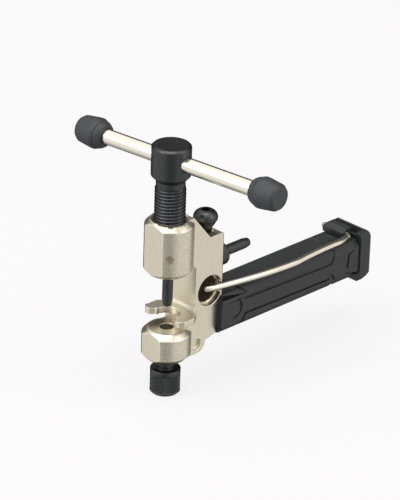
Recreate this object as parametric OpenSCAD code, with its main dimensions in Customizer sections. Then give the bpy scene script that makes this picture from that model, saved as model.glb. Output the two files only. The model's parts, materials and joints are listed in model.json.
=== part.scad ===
// Bicycle chain tool: a steel C-frame carries a drive screw with a swivelling push pin above the chain
// seat, a knurled anvil screw below it, and a two-shell grip behind it with a wire chain hook clipped on.
// Millimetres. The origin is on the press axis at the height of the chain seat.
// +X runs along the chain, +Y along the grip and +Z up the press axis.

/* [Frame] */
// Radius of the two round bosses on the press axis
boss_r = 7.5; // [7:0.1:9]
// Depth of the flat milled on the front of both bosses
boss_flat = 1; // [0.4:0.1:1.5]
// Width of the turned chamfer on the ends of the bosses
boss_chamfer = 1.65; // [0.6:0.05:1.8]
// Height of the lower boss, under the chain seat
lower_boss_h = 10; // [9:0.25:14]
// Clear height of the gap between the two bosses
gap_h = 18.2; // [16.5:0.1:24]
// Height of the upper boss
upper_boss_h = 17.5; // [15:0.25:23]
// Thickness of the frame's web
web_t = 10; // [8.5:0.25:12]
// Distance from the press axis to the back wall of the gap
throat = 6.8; // [5.9:0.1:9]
// Distance from the press axis to the rear edge of the frame
frame_rear = 18.7; // [18:0.1:24]
// Height of the rear step below the top of the upper boss
step_drop = 8.4; // [6:0.1:10]
// Diameter of the hole that lets the pushed rivet out of the seat
rivet_hole_d = 4.2; // [4:0.05:4.6]
// Length of the rivet hole, down to the anvil thread
rivet_hole_l = 3.4; // [2.5:0.1:4]

/* [Chain] */
// Pitch of the chain that the seat holds
chain_pitch = 12.7; // [12:0.05:13]
// Diameter of the seat that takes one chain roller
seat_d = 7.9; // [7.8:0.05:8.4]
// Thickness of the teeth that stand between the side plates
tooth_t = 2.1; // [1.6:0.05:2.4]
// Overall height of the chain lying on the seat
chain_h = 7.1; // [5.4:0.1:8.6]

/* [Drive screw] */
// Outer diameter of the drive screw's thread
screw_d = 9.44; // [9:0.02:10]
// Pitch of the drive screw's thread
screw_pitch = 1.058; // [0.8:0.01:1.3]
// Depth of the thread
thread_depth = 0.57; // [0.3:0.01:0.65]
// Exposed length of screw between the frame and the head, as drawn
screw_exposed = 12.5; // [10:0.1:16]
// Diameter of the cross-drilled head
head_d = 12; // [11.4:0.1:15]
// Height of the head's cylinder
head_h = 9.6; // [9:0.1:14]

/* [Push pin] */
// Diameter of the push pin
pin_d = 3.24; // [3.1:0.02:3.6]
// Length of pin that stands out of its holder
pin_l = 10.8; // [9:0.1:11.6]
// Diameter of the pin holder's hub
hub_d = 7.4; // [7:0.1:8]
// Length of the pin holder's hub
hub_l = 4.2; // [3:0.1:5]
// Diameter of the pin holder's stud
stud_d = 5.2; // [5:0.1:5.6]
// Length of the pin holder's stud
stud_l = 4.2; // [3.6:0.1:4.6]

/* [Tee bar] */
// Diameter of the sliding bar
bar_d = 4.76; // [4:0.02:5.4]
// Length of bar that shows between the two end grips
bar_free_l = 55.8; // [42:0.2:72]
// Length of one end grip
grip_l = 9.4; // [9:0.1:14]
// Largest diameter of an end grip
grip_d = 9.6; // [8.8:0.1:10.4]
// Turn of the bar about the press axis, from +X
bar_angle = 6.4; // [0:0.2:90]
// Offset of the bar's middle from the press axis
bar_offset = 3; // [0:0.1:10]

/* [Anvil screw] */
// Diameter of the knurled knob
knob_d = 9.25; // [8:0.05:12]
// Height of the knurled knob
knob_h = 8.1; // [6:0.1:12]
// Gap between the knob and the lower boss, as drawn
knob_gap = 3.6; // [3.5:0.1:4]
// Outer diameter of the anvil screw's thread
anvil_d = 5.9; // [5.6:0.05:6.4]
// Pitch of the anvil screw's thread
anvil_pitch = 0.8; // [0.5:0.05:1]

/* [Grip] */
// Length of the two grip shells
grip_shell_l = 60.6; // [50:0.1:72]
// Width across the two grip shells
grip_w = 14; // [13.8:0.1:18]
// Height of the grip shells
grip_h = 12.5; // [10.9:0.1:15]
// Height of the grip's top above the chain seat
grip_top = 6.7; // [6.6:0.1:8]
// Wall of the grip shells
grip_wall = 1.9; // [1.2:0.1:2.2]
// Width of the mould lines on the grip's sides
groove_w = 0.75; // [0.3:0.05:0.8]
// Depth of the mould lines
groove_depth = 0.5; // [0.2:0.05:0.6]
// Thickness of the end cap's flange
flange_t = 4.4; // [3.5:0.1:6]
// Width of the end cap's flange
flange_w = 15; // [14:0.1:19]
// Height of the end cap's flange
flange_h = 16.8; // [15:0.1:20]

/* [Chain hook] */
// Diameter of the hook's wire
wire_d = 2; // [1.6:0.05:2.4]
// Diameter of the splined hole in the web that holds the hook's front leg
spline_d = 9.2; // [8.4:0.1:9.6]
// Number of splines in that hole
spline_count = 16; // [8:1:24]
// Outward bow of the hook's long leg
wire_bow = 4.1; // [3.5:0.1:6]
// Length of the nylon bush that grips the hook's front leg
bush_l = 2.6; // [2:0.1:5]

/* [Clearances] */
// Radial clearance of pieces that run in one another
run_gap = 0.05; // [0.03:0.01:0.09]
// Gap between pieces that are fastened together
seat_gap = 0.05; // [0.03:0.01:0.1]

/* [Hidden] */
$fn = 64;
eps = 0.01;
past = 1;

// Colours
nickel = "#c8c4b6";
bright_nickel = "#d9d6c8";
black_steel = "#26272a";
black_nylon = "#35373a";
grey_nylon = "#4a4c4f";
hard_steel = "#6d6f72";

// Frame
boss_top = gap_h + upper_boss_h;
boss_bottom = -lower_boss_h;
boss_front = boss_r - boss_flat;
step_z = boss_top - step_drop;
step_y = throat + 5.6;
slope_y = step_y - step_drop * tan(40);
web_half = web_t / 2;
throat_fillet = 1.4;
nose_r = 3.1;
nose_y = throat + 4.7;
step_round = 1.5;
plan_round = 1;
screw_bore_r = screw_d / 2 + run_gap;
mouth_r = boss_r - boss_chamfer - 0.2;
anvil_bore_r = anvil_d / 2 + run_gap;
rivet_hole_r = rivet_hole_d / 2;
dimple_r = 1.8;
dimple_depth = 0.9;

// Chain seat: the teeth lie at the height of the rollers' middle
tooth_z = chain_h / 2 - tooth_t / 2;
tooth_half_w = chain_pitch / 2 - seat_d / 2;
tooth_tip_w = 1.7;
tooth_reach = 2;
tooth_flank = 0.5;
ledge_z = tooth_z + tooth_t;
ledge_y = seat_d / 2 + 0.35;
comb_half = chain_pitch - seat_d / 2 - 0.5;

// Grip
grip_start = frame_rear - 2.4;
grip_end = grip_start + grip_shell_l;
grip_half = grip_w / 2;
grip_bottom = grip_top - grip_h;
cavity_half = grip_half - grip_wall;
cavity_top = grip_top - grip_wall;
cavity_bottom = grip_bottom + grip_wall;
heel_y = grip_start - 0.4;
tang_half = 2.5;
tang_top = cavity_top - 0.5;
tang_bottom = cavity_bottom + 0.1;
tang_end = grip_end - 15.4;
tang_mid = (cavity_top + cavity_bottom) / 2;
rib_t = 1.4;
rib_pitch = 9;

// Grip screws, along X
shank_r = 1.5;
cross_head_r = 2.75;
front_screw = [frame_rear + cross_head_r + 0.1, tang_mid];
rear_screw = [tang_end - 13, tang_mid];
cross_head_h = 1.8;
cross_pocket = 2.2;
screw_post_r = 3.5;
cross_screw_end = grip_half - grip_wall;

// End cap
cap_gap = seat_gap;
flange_y = grip_end + cap_gap;
flange_end = flange_y + flange_t;
flange_top = grip_top + wire_d + 0.2;
flange_bottom = flange_top - flange_h;
flange_half = flange_w / 2;
plug_l = 12.6;
cap_head_r = 2.75;
cap_head_h = 1.9;
cap_screw_l = plug_l + flange_t + 8;

// Lug on the end cap that holds the hook's rear leg
lug_l = wire_d + 1.6;
lug_top = grip_top + wire_d + 0.95;
lug_left = -5.8;
lug_right = 2.6;
wire_r = wire_d / 2;
leg_gap = 0.1;
rear_leg_y = flange_y - lug_l / 2 - 0.2;
rear_leg_z = grip_top + wire_r + 0.15;

// Splined hole and its bush
spline_y = frame_rear - 5.7;
spline_z = 9.5;
spline_r = spline_d / 2;
spline_depth = 0.3;
relief_r = spline_r + 0.4;
relief_depth = 2;
bush_end = -web_half + bush_l;
bush_r = spline_r - spline_depth - seat_gap;
wire_groove_x = web_half + 0.15;

// Chain hook
front_leg_tip = -web_half - 3;
rear_leg_tip = -7.2;
hook_corner = web_half - 0.8;
rear_corner = 4.5;
hook_z = 9.3;
bend_r = 1.8;
kink_at = 0.56;

// Drive screw: heights up the press axis, as drawn with the pin just touching a chain on the seat
pin_r = pin_d / 2;
pin_tip_z = chain_h;
hub_z = pin_tip_z + pin_l;
screw_end_z = hub_z + hub_l;
crest_r = screw_d / 2;
root_r = crest_r - thread_depth;
neck_l = 1.6;
neck_r = root_r + 0.25;
cone_l = 1.65;
thread_top = boss_top + screw_exposed - neck_l;
cone_z = boss_top + screw_exposed;
head_z = cone_z + cone_l;
head_top = head_z + head_h;
head_r = head_d / 2;
head_edge = 0.6;
bar_z = head_z + head_h / 2 - 0.1;
stud_r = stud_d / 2;
stud_bore_r = stud_r + seat_gap;

// Swivel of the pin in its holder
collar_r = 2;
pocket_r = collar_r + run_gap;
pocket_floor = 1.2;
ball_r = 1.6;
stud_top = hub_l + stud_l;
ball_seat = stud_top - 2 * ball_r - 0.05;

// Tee bar
bar_r = bar_d / 2;
bar_hole_r = bar_r + run_gap;
grip_r = grip_d / 2;
bar_in_grip = 8.2;
bar_half = bar_free_l / 2 + bar_in_grip;

// Anvil
knob_top = boss_bottom - knob_gap;
knob_bottom = knob_top - knob_h;
anvil_r = anvil_d / 2;
anvil_lift = knob_gap - 0.3;
shank_top = -rivet_hole_l - anvil_lift - 0.1;
anvil_face = -rivet_hole_l - 0.1;
anvil_tip_r = rivet_hole_r - 0.15;
tip_stem_r = 1.2;
tip_stem_l = 4;

// Spare pin, along +Y behind the frame, and the screw that locks it
spare_z = gap_h - 0.8;
lock_y = frame_rear - 3.6;
lock_r = 1.95;
lock_head_r = 3.8;
lock_head_h = 6.6;
lock_collar_r = 2.7;
lock_tip = spare_z + stud_r + 0.2;

// A corner point turned into an arc that touches both of its edges
function corner(before, at, after, radius, steps = 6) =
    let(
        u = (before - at) / norm(before - at),
        v = (after - at) / norm(after - at),
        half = acos(u * v) / 2,
        start = at + u * radius / tan(half),
        stop = at + v * radius / tan(half),
        centre = at + (u + v) / norm(u + v) * radius / sin(half)
    )
    [for (i = [0:steps]) let(w = start + (stop - start) * i / steps - centre) centre + w / norm(w) * radius];

// An outline of [x, y, corner radius] points with its corners rounded
function rounded(outline) =
    let(n = len(outline), p = [for (o = outline) [o[0], o[1]]])
    [for (i = [0:n - 1]) each (outline[i][2] == 0 ? [p[i]]
        : corner(p[(i + n - 1) % n], p[i], p[(i + 1) % n], outline[i][2]))];

// Extrude a (Y, Z) outline along X, and an (X, Z) outline along Y
module along_x(x0, x1) translate([x0, 0, 0]) rotate([90, 0, 90]) linear_extrude(x1 - x0) children();
module along_y(y0, y1) translate([0, y1, 0]) rotate([90, 0, 0]) linear_extrude(y1 - y0) children();

// Round bars along X and Y
module rod_x(x0, x1, r) translate([x0, 0, 0]) rotate([0, 90, 0]) cylinder(h = x1 - x0, r = r);
module rod_y(y0, y1, r) translate([0, y0, 0]) rotate([-90, 0, 0]) cylinder(h = y1 - y0, r = r);

// Profile of a threaded stretch: one ridge per pitch, from z0 up to z1 with the pitch marks counted from z0
function thread_profile(z0, z1, crest, root, pitch) =
    let(turns = floor((z1 - z0) / pitch))
    concat(
        [[0, z0], [root, z0]],
        [for (i = [0:turns - 1]) each [
            [root, z0 + (i + 0.1) * pitch], [crest, z0 + (i + 0.42) * pitch],
            [crest, z0 + (i + 0.58) * pitch], [root, z0 + (i + 0.9) * pitch]
        ]],
        [[root, z1], [0, z1]]
    );

// A turned boss with its front flat, from z0 to z1
module boss(z0, z1) {
    intersection() {
        rotate_extrude() polygon([
            [0, z0], [boss_r - boss_chamfer, z0], [boss_r, z0 + boss_chamfer],
            [boss_r, z1 - boss_chamfer], [boss_r - boss_chamfer, z1], [0, z1]
        ]);
        translate([-2 * boss_r, -boss_front, z0]) cube([4 * boss_r, 4 * boss_r, z1 - z0]);
    }
}

// Side outline of the web, with the throat and the nose under it
web_outline = [
    [0, boss_bottom, 0], [nose_y, boss_bottom, nose_r], [nose_y, boss_bottom + nose_r + 0.2, 0],
    [heel_y, grip_bottom + 0.1, 0], [heel_y, tang_bottom, 0], [frame_rear, tang_bottom, 0],
    [frame_rear, step_z, step_round], [step_y, step_z, 0], [slope_y, boss_top, 0], [0, boss_top, 0],
    [0, gap_h + boss_chamfer + 0.05, 0], [throat - boss_chamfer, gap_h + boss_chamfer + 0.05, 0],
    [throat, gap_h + 0.7, 0], [throat, ledge_z, throat_fillet], [ledge_y, ledge_z, 0], [ledge_y, 0, 0], [0, 0, 0]
];

module web() {
    intersection() {
        along_x(-web_half, web_half) polygon(rounded(web_outline));
        translate([0, 0, boss_bottom - past]) linear_extrude(boss_top - boss_bottom + 2 * past)
            polygon(rounded([
                [-web_half, 0, 0], [web_half, 0, 0],
                [web_half, frame_rear, plan_round], [-web_half, frame_rear, plan_round]
            ]));
    }
}

// Comb of two teeth that stand between the chain's side plates and cradle one roller
module comb() {
    tooth_x = chain_pitch / 2;
    translate([0, 0, tooth_z]) linear_extrude(tooth_t) difference() {
        union() {
            polygon([
                [-comb_half, -tooth_flank], [comb_half, -tooth_flank], [comb_half, ledge_y - 1],
                [web_half, throat + past], [-web_half, throat + past], [-comb_half, ledge_y - 1]
            ]);
            for (side = [-1, 1]) translate([side * tooth_x, 0]) polygon([
                [-tooth_half_w, -tooth_flank], [-tooth_tip_w / 2, -tooth_reach],
                [tooth_tip_w / 2, -tooth_reach], [tooth_half_w - 0.5, -tooth_flank], [0, 0]
            ]);
        }
        circle(d = seat_d);
        translate([-seat_d / 2, -2 * tooth_reach]) square([seat_d, 2 * tooth_reach]);
    }
}

// Splined hole along X with a smooth relief on the +X side
module splined_hole() {
    translate([0, spline_y, spline_z]) {
        rod_x(-web_half - past, web_half + past, spline_r - spline_depth);
        for (i = [0:spline_count - 1]) rotate([i * 360 / spline_count, 0, 0])
            translate([0, 0, spline_r - spline_depth]) rod_x(-web_half - past, web_half + past, 0.32);
        rod_x(web_half - relief_depth, web_half + past, relief_r);
    }
}

module body() {
    color(nickel) difference() {
        union() {
            boss(gap_h, boss_top);
            boss(boss_bottom, 0);
            web();
            comb();
            along_x(-tang_half, tang_half) translate([frame_rear - past, tang_bottom])
                square([tang_end - frame_rear + past, tang_top - tang_bottom]);
        }
        // Drive screw bore and its countersunk mouth
        translate([0, 0, gap_h - past]) cylinder(h = upper_boss_h + 2 * past, r = screw_bore_r);
        rotate_extrude() polygon([
            [0, boss_top - (mouth_r - screw_bore_r)], [screw_bore_r, boss_top - (mouth_r - screw_bore_r)],
            [mouth_r, boss_top], [mouth_r, boss_top + past], [0, boss_top + past]
        ]);
        // Rivet hole and anvil thread
        translate([0, 0, boss_bottom - past]) cylinder(h = lower_boss_h + 2 * past, r = rivet_hole_r);
        translate([0, 0, boss_bottom - past]) cylinder(h = lower_boss_h - rivet_hole_l + past, r = anvil_bore_r);
        splined_hole();
        // Groove in which the hook's long leg leaves the relief
        translate([wire_groove_x, 0, (spline_z + hook_z) / 2]) rod_y(spline_y + 3, frame_rear + past, wire_r + 0.4);
        // Lock screw hole and the socket of the spare pin
        translate([0, lock_y, spare_z]) cylinder(h = step_z - spare_z + past, r = lock_r + seat_gap);
        translate([0, lock_y, step_z - 0.8]) cylinder(h = 0.8 + past, r = lock_collar_r);
        translate([0, 0, spare_z]) rod_y(frame_rear - stud_l - 0.3, frame_rear + past, stud_bore_r);
        // Grip screw holes and the tapped hole for the end cap screw
        for (p = [front_screw, rear_screw]) translate([0, p[0], p[1]])
            rod_x(-web_half - past, web_half + past, shank_r + 0.1);
        translate([0, 0, tang_mid]) rod_y(tang_end - 9, tang_end + past, shank_r + seat_gap);
        // Shallow dimple on the nose
        translate([web_half - dimple_depth, nose_y - 3.6, boss_bottom + 3.1]) rod_x(0, dimple_depth + past, dimple_r);
    }
}

// Nylon bush in the splined hole that grips the hook's front leg
module hook_bush() {
    color(black_nylon) translate([0, spline_y, spline_z]) difference() {
        rod_x(-web_half, bush_end, bush_r);
        rod_x(-web_half - past, bush_end + past, wire_r + leg_gap);
    }
}

// Button-head screw that locks the spare pin's holder
module lock_screw() {
    color(black_steel) translate([0, lock_y, 0]) difference() {
        rotate_extrude() polygon(rounded([
            [0, lock_tip, 0], [lock_r - 0.3, lock_tip, 0], [lock_r, lock_tip + 0.3, 0], [lock_r, step_z + 0.6, 0],
            [lock_head_r, step_z + 3.8, 1.4], [lock_head_r - 0.2, step_z + lock_head_h, 2.4],
            [0, step_z + lock_head_h, 0]
        ]));
        translate([0, 0, step_z + lock_head_h - 2]) cylinder(h = 2 + past, r = 1.4, $fn = 6);
    }
}

// Push pin with the collar that is held in its holder, tip at z = 0
module pin_shape() {
    taper_l = 2;
    tip_r = pin_r - 0.32;
    collar_z = pin_l + pocket_floor + run_gap;
    collar_top = pin_l + ball_seat - 0.05;
    rotate_extrude() polygon([
        [0, 0], [tip_r - 0.15, 0], [tip_r, 0.15], [pin_r, taper_l], [pin_r, collar_z],
        [collar_r, collar_z], [collar_r, collar_top], [0, collar_top]
    ]);
}

// Holder that the pin turns in: a hub, and a hollow stud above it; hub's lower face at z = 0
module holder_shape() {
    edge = 0.7;
    rotate_extrude() polygon([
        [pin_r + run_gap, 0], [hub_d / 2 - edge, 0], [hub_d / 2, edge], [hub_d / 2, hub_l], [stud_r, hub_l],
        [stud_r, stud_top - 0.3], [stud_r - 0.3, stud_top], [pocket_r, stud_top],
        [pocket_r, pocket_floor], [pin_r + run_gap, pocket_floor]
    ]);
}

module push_pin() {
    color(black_steel) translate([0, 0, pin_tip_z]) pin_shape();
}

module pin_holder() {
    color(black_steel) translate([0, 0, hub_z]) holder_shape();
}

// Ball that takes the thrust between the pin and the screw
module thrust_ball() {
    color(hard_steel) translate([0, 0, hub_z + ball_seat + ball_r]) sphere(r = ball_r);
}

// The spare points out of the back of the frame
module at_spare() {
    translate([0, frame_rear + hub_l + seat_gap, spare_z]) rotate([90, 0, 0]) children();
}

module spare_pin() {
    color(black_steel) at_spare() translate([0, 0, -pin_l]) pin_shape();
}

module spare_pin_holder() {
    color(black_steel) at_spare() holder_shape();
}

// Drive screw with its thread as ridges, a neck and a cross-drilled head
module drive_screw() {
    color(black_steel) difference() {
        union() {
            rotate_extrude() polygon(thread_profile(screw_end_z, thread_top, crest_r, root_r, screw_pitch));
            rotate_extrude() polygon([
                [0, thread_top - eps], [neck_r, thread_top - eps], [neck_r, cone_z], [neck_r + 0.2, cone_z],
                [head_r, head_z], [head_r, head_top - head_edge], [head_r - head_edge, head_top], [0, head_top]
            ]);
        }
        translate([0, 0, screw_end_z - past]) cylinder(h = stud_l + past + 0.05, r = stud_bore_r);
        translate([0, 0, bar_z]) rotate([0, 0, bar_angle]) rod_x(-head_d, head_d, bar_hole_r);
    }
}

// Places its children on the bar's axis, with the bar's middle at x = 0
module on_bar() {
    translate([0, 0, bar_z]) rotate([0, 0, bar_angle]) translate([bar_offset, 0, 0]) children();
}

module tee_bar() {
    color(bright_nickel) on_bar() rod_x(-bar_half, bar_half, bar_r);
}

// End grip along +X with its open end at x = 0
module grip_shape() {
    lip_l = 1.2;
    step_l = 1.9;
    shoulder_l = grip_l - 1;
    rotate([0, 90, 0]) rotate_extrude() polygon([
        [bar_r + seat_gap, 0], [grip_r - 1.3, 0], [grip_r - 0.6, lip_l], [grip_r - 0.6, step_l],
        [grip_r - 0.4, step_l], [grip_r - 0.05, 2.6], [grip_r, 3], [grip_r - 0.05, 4], [grip_r - 0.6, shoulder_l],
        [grip_r - 0.95, shoulder_l + 0.6], [grip_r - 1.15, grip_l - 0.2], [grip_r - 1.6, grip_l], [0, grip_l],
        [0, bar_in_grip + 0.1], [bar_r + seat_gap, bar_in_grip + 0.1]
    ]);
}

module bar_grip_left() {
    color(grey_nylon) on_bar() mirror([1, 0, 0]) translate([bar_free_l / 2, 0, 0]) grip_shape();
}

module bar_grip_right() {
    color(grey_nylon) on_bar() translate([bar_free_l / 2, 0, 0]) grip_shape();
}

// Anvil screw: knurled knob, neck, thread and a socket for the hard tip
module anvil_screw() {
    edge = 0.5;
    thread_start = boss_bottom - 0.4;
    color(black_steel) difference() {
        union() {
            rotate_extrude() polygon([
                [0, knob_bottom], [knob_d / 2 - edge, knob_bottom], [knob_d / 2, knob_bottom + edge],
                [knob_d / 2, knob_top - 0.15], [knob_d / 2 - 0.15, knob_top], [anvil_r - 0.35, knob_top],
                [anvil_r - 0.35, thread_start + eps], [0, thread_start + eps]
            ]);
            rotate_extrude()
                polygon(thread_profile(thread_start, shank_top, anvil_r, anvil_r - 0.35, anvil_pitch));
        }
        translate([0, 0, shank_top - tip_stem_l]) cylinder(h = tip_stem_l + past, r = tip_stem_r + run_gap);
    }
}

// Hardened tip that turns in the end of the anvil screw
module anvil_tip() {
    color(hard_steel) rotate_extrude() polygon([
        [0, shank_top - tip_stem_l + seat_gap], [tip_stem_r, shank_top - tip_stem_l + seat_gap],
        [tip_stem_r, shank_top + seat_gap], [anvil_tip_r, shank_top + seat_gap],
        [anvil_tip_r, anvil_face - 0.2], [anvil_tip_r - 0.2, anvil_face], [0, anvil_face]
    ]);
}

// Cross-section of the grip on the +X side, drawn in by the inset
function grip_section(inset) = rounded([
    [0, grip_bottom + inset, 0], [grip_half - 1.6, grip_bottom + inset, 1], [grip_half - inset, grip_bottom + 1.9, 1],
    [grip_half - inset, grip_top - 2.3, 1.6], [grip_half - 1.9, grip_top - inset, 1.2], [0, grip_top - inset, 0]
]);

// One straight mould line from p to q on the grip's side, as a (Y, Z) shape with round ends
module mould_line(p, q) {
    run = q - p;
    translate(p) rotate(atan2(run[1], run[0])) translate([0, -groove_w / 2]) square([norm(run), groove_w]);
    for (end = [p, q]) translate(end) circle(d = groove_w, $fn = 24);
}

module mould_path(points) {
    for (i = [0:len(points) - 2]) mould_line(points[i], points[i + 1]);
}

// Mould lines of one side, in (Y, Z)
panel_front = frame_rear + 7.8;
panel_rear = grip_end - 12.7;
ring_r = 2.9;
ring_at = front_screw + [0.3, 0.6];
module mould_lines() {
    mould_path([[panel_front - 2, grip_top + 0.4], [panel_front + 0.5, grip_top - 1.7]]);
    mould_path([
        [panel_front, grip_top - 3.3], [panel_rear, grip_top - 4.2], [panel_rear + 2.8, grip_top + 0.4]
    ]);
    mould_path([
        [panel_front - 2.6, grip_bottom - 0.4], [panel_front + 0.2, grip_bottom + 4.1],
        [panel_rear - 0.8, grip_bottom + 3.5]
    ]);
    mould_path([[panel_rear, grip_bottom + 4.6], [panel_rear + 1.6, grip_bottom + 2.8]]);
    mould_path([
        [grip_end - 5.2, grip_bottom + 4.8], [grip_end - 4.8, grip_top - 3.5], [grip_end - 1.4, grip_top - 2.1]
    ]);
    mould_path([[grip_end - 5.6, grip_bottom + 3.2], [grip_end + 0.5, grip_bottom + 0.9]]);
    translate(ring_at) intersection() {
        difference() {
            circle(r = ring_r + groove_w / 2);
            circle(r = ring_r - groove_w / 2);
        }
        polygon([[0, 0], [ring_r, 1.4 * ring_r], [2 * ring_r, 0], [ring_r, -2 * ring_r], [-0.3 * ring_r, -2 * ring_r]]);
    }
}

// One grip shell on the +X side, without its screw seats
module shell_blank() {
    notch_y = panel_rear + 0.8;
    difference() {
        along_y(grip_start, grip_end) polygon(grip_section(0));
        // Hollow, and the slot at the front for the frame's web
        difference() {
            translate([-past, frame_rear + seat_gap, cavity_bottom])
                cube([cavity_half + past, grip_end - frame_rear + past, cavity_top - cavity_bottom]);
            for (y = [frame_rear + rib_pitch : rib_pitch : tang_end - rib_t])
                translate([tang_half + seat_gap, y, cavity_bottom - past])
                    cube([cavity_half, rib_t, cavity_top - cavity_bottom + 2 * past]);
            for (p = [front_screw, rear_screw]) translate([0, p[0], p[1]])
                rod_x(tang_half + seat_gap, cavity_half + past, screw_post_r);
        }
        translate([-past, grip_start - past, tang_bottom - seat_gap])
            cube([web_half + seat_gap + past, frame_rear - grip_start + past + 2 * seat_gap, grip_h]);
        // Sloped upper front corner
        along_x(-past, grip_half + past) polygon([
            [grip_start - past, grip_top - 3.5], [grip_start, grip_top - 3.5], [grip_start + 1.6, grip_top + past],
            [grip_start - past, grip_top + past]
        ]);
        // Mould lines, and the notch in the lower edge
        difference() {
            along_x(past, grip_half + past) mould_lines();
            along_y(grip_start - past, grip_end + past) polygon(grip_section(groove_depth));
        }
        along_x(grip_half - 2.5, grip_half + past) polygon([
            [notch_y, grip_bottom - past], [notch_y + 2.2, grip_bottom - past], [notch_y + 0.6, grip_bottom + 1.8],
            [notch_y, grip_bottom + 1.8]
        ]);
    }
    // Ridges across the top in front of the lug
    for (y = [grip_end - 7.4, grip_end - 5.2]) translate([0.1, y, grip_top - eps]) cube([4.2, 0.8, 0.3 + eps]);
}

module grip_shell_right() {
    color(black_nylon) difference() {
        shell_blank();
        translate([-seat_gap, grip_start - past, grip_bottom - past])
            cube([seat_gap * 1.5, grip_shell_l + 2 * past, grip_h + 3 * past]);
        for (p = [front_screw, rear_screw]) translate([0, p[0], p[1]])
            rod_x(0, cross_screw_end + 0.2, shank_r + seat_gap);
    }
}

module grip_shell_left() {
    color(black_nylon) difference() {
        mirror([1, 0, 0]) shell_blank();
        for (p = [front_screw, rear_screw]) translate([0, p[0], p[1]]) {
            rod_x(-grip_w, 0, shank_r + seat_gap);
            rod_x(-grip_w, -grip_half + cross_pocket, cross_head_r + 0.15);
        }
    }
}

// Two cross screws that clamp the shells on the tang
module grip_screws() {
    head_x = -grip_half + cross_pocket - seat_gap;
    color(black_steel) for (p = [front_screw, rear_screw]) translate([0, p[0], p[1]]) difference() {
        union() {
            rod_x(head_x - cross_head_h, head_x, cross_head_r);
            rod_x(head_x - eps, cross_screw_end, shank_r);
        }
        translate([head_x - cross_head_h - past, 0, 0]) rotate([0, 90, 0]) cylinder(h = 1 + past, r = 1.25, $fn = 6);
    }
}

// End cap: flange, plug between the shells and the lug for the hook
module end_cap() {
    flange_round = 2.2;
    heel_chamfer = 2.6;
    recess_half = 5.4;
    recess_d = 1.7;
    back_t = 1.5;
    lug_round = 1.2;
    lug_floor = grip_top + seat_gap;
    color(black_nylon) difference() {
        union() {
            difference() {
                intersection() {
                    along_y(flange_y, flange_end) polygon(rounded([
                        [-flange_half, flange_bottom, flange_round], [flange_half, flange_bottom, flange_round],
                        [flange_half, flange_top, flange_round], [-flange_half, flange_top, flange_round]
                    ]));
                    along_x(-flange_half - past, flange_half + past) polygon(rounded([
                        [flange_y, flange_bottom, 0.5], [flange_end - 3.6, flange_bottom, 0.8],
                        [flange_end, flange_bottom + heel_chamfer, 0.6], [flange_end, flange_top, 1],
                        [flange_y, flange_top, 0.5]
                    ]));
                }
                // Recess across the top, with a lower lip in front of it
                along_x(-recess_half, recess_half) polygon([
                    [flange_y - past, flange_top - 0.9], [flange_y + 0.8, flange_top - 0.9],
                    [flange_y + 1.1, flange_top - recess_d], [flange_end - back_t - 0.5, flange_top - recess_d],
                    [flange_end - back_t, flange_top - 0.2], [flange_end - back_t, flange_top + past],
                    [flange_y - past, flange_top + past]
                ]);
            }
            translate([-cavity_half + 0.1, flange_y - plug_l, cavity_bottom + 0.1])
                cube([2 * cavity_half - 0.2, plug_l + past, cavity_top - cavity_bottom - 0.2]);
            intersection() {
                along_x(lug_left, lug_right) polygon(rounded([
                    [flange_y - lug_l, lug_floor, 0], [flange_y + 0.8, lug_floor, 0], [flange_y + 0.8, lug_top, 0.3],
                    [flange_y - 1.6, lug_top, 0.6], [flange_y - lug_l, lug_top - 0.9, 0.5]
                ]));
                along_y(flange_y - lug_l - past, flange_y + 1) polygon(rounded([
                    [lug_left, lug_floor, 0], [lug_right, lug_floor, 0], [lug_right, lug_top, 0],
                    [lug_left, lug_top, lug_round]
                ]));
            }
        }
        // Slot for the hook's rear leg, open to the grip's top
        translate([0, rear_leg_y, rear_leg_z]) rod_x(lug_left - past, lug_right + past, wire_r + leg_gap);
        along_x(lug_left - past, lug_right + past) translate([rear_leg_y - wire_r - leg_gap, lug_floor - past])
            square([wire_d + 2 * leg_gap, rear_leg_z - lug_floor + past]);
        // End cap screw
        translate([0, 0, tang_mid]) {
            rod_y(flange_y - plug_l - past, flange_end + past, shank_r + 0.1);
            rod_y(flange_end - cap_head_h - 0.4, flange_end + past, cap_head_r + 0.15);
        }
    }
}

// Screw from the rear face of the end cap into the end of the tang
module end_cap_screw() {
    seat = flange_end - 0.4 - seat_gap;
    color(black_steel) translate([0, 0, tang_mid]) difference() {
        union() {
            rod_y(seat - cap_head_h + seat_gap, seat, cap_head_r);
            rod_y(seat - cap_screw_l, seat - cap_head_h + seat_gap + eps, shank_r);
        }
        translate([0, seat + past, 0]) rotate([90, 0, 0]) cylinder(h = 1 + past, r = 1.25, $fn = 6);
    }
}

// Route of the chain hook's wire: front leg, bowed long leg with one kink, rear leg
wire_end_y = rear_leg_y - bend_r;
wire_span = wire_end_y - spline_y;
kink_y = spline_y + kink_at * wire_span;
kink_x = hook_corner + wire_bow;
front_run = [for (u = [0.04:0.12:1]) [
    hook_corner + wire_bow * sin(90 * u), spline_y + bend_r * 0.7 + (kink_y - spline_y - bend_r * 0.7) * u,
    spline_z + (hook_z - spline_z) * u
]];
rear_run = [for (u = [0.15:0.17:0.9]) [
    kink_x + (rear_corner + bend_r * 0.4 - kink_x) * u, kink_y + (wire_end_y - kink_y) * u,
    hook_z + (rear_leg_z - hook_z) * u * u
]];
route = concat(
    [[front_leg_tip, spline_y, spline_z], [hook_corner - bend_r, spline_y, spline_z],
     [hook_corner - bend_r * 0.35, spline_y + bend_r * 0.2, spline_z]],
    front_run, [[kink_x, kink_y, hook_z]], rear_run,
    [for (a = [0:30:90]) [rear_corner - bend_r * (1 - cos(a)), wire_end_y + bend_r * sin(a), rear_leg_z]],
    [[lug_right - 0.8, rear_leg_y, rear_leg_z], [rear_leg_tip, rear_leg_y, rear_leg_z]]
);

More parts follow.
